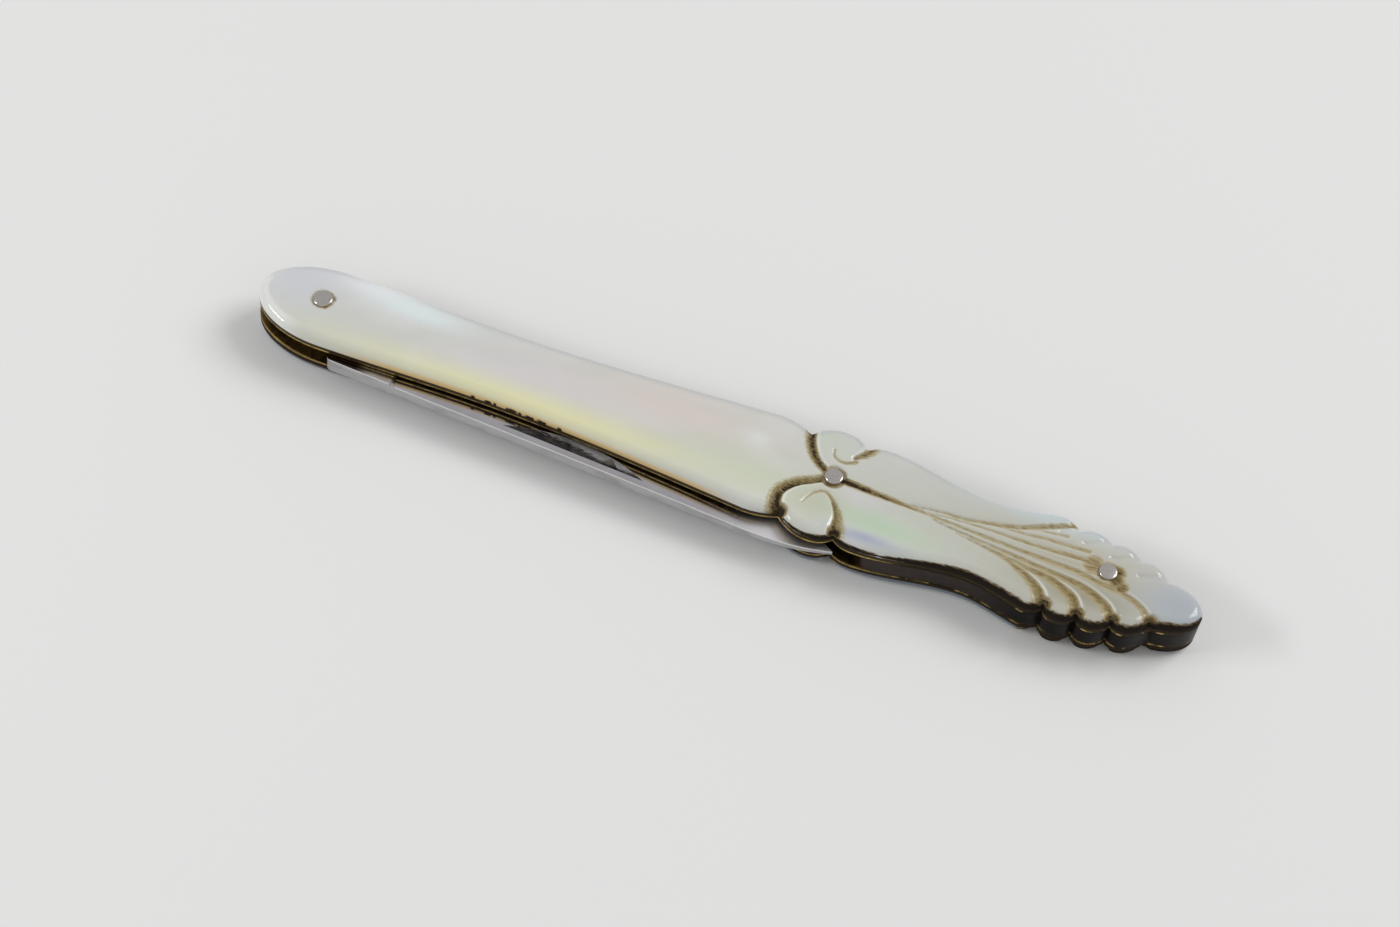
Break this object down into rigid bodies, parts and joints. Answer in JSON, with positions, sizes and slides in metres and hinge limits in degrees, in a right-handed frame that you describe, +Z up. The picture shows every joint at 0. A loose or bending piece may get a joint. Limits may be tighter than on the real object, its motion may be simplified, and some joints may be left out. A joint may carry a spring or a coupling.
{
  "type": "pen knife",
  "caption": "Small folding pen knife with carved mother-of-pearl scales, brass liners, a back spring and a folding steel blade.",
  "frame": {"origin": "on the back scale's flat face that the closed knife rests on, at mid length, below the line of the pins", "axes": "+X from the pivot end to the carved end, +Y from the blade's mouth to the back spring, +Z up from the resting face"},
  "size_m": [0.0808, 0.0112, 0.0047],
  "materials": {
    "pearl": "polished mother-of-pearl with soft iridescence",
    "liner_brass": "worn brass",
    "spring_steel": "dark patinated steel",
    "blade_steel": "polished carbon steel",
    "pin_metal": "polished nickel silver"
  },
  "bodies": {
    "handle": {"back_scale": "pearl", "back_liner": "liner_brass", "back_spring": "spring_steel", "front_liner": "liner_brass", "front_scale": "pearl", "pivot_pin": "pin_metal", "centre_pin": "pin_metal", "tail_pin": "pin_metal"},
    "blade": {"blade": "blade_steel"}
  },
  "joints": [
    {"name": "blade_hinge", "type": "hinge", "parent": "handle", "child": "blade", "pos_m": [-0.03498, 0, 0.00225], "axis": [0, 0, -1], "range_deg": [0, 180], "deforming": ["back_spring"]}
  ]
}
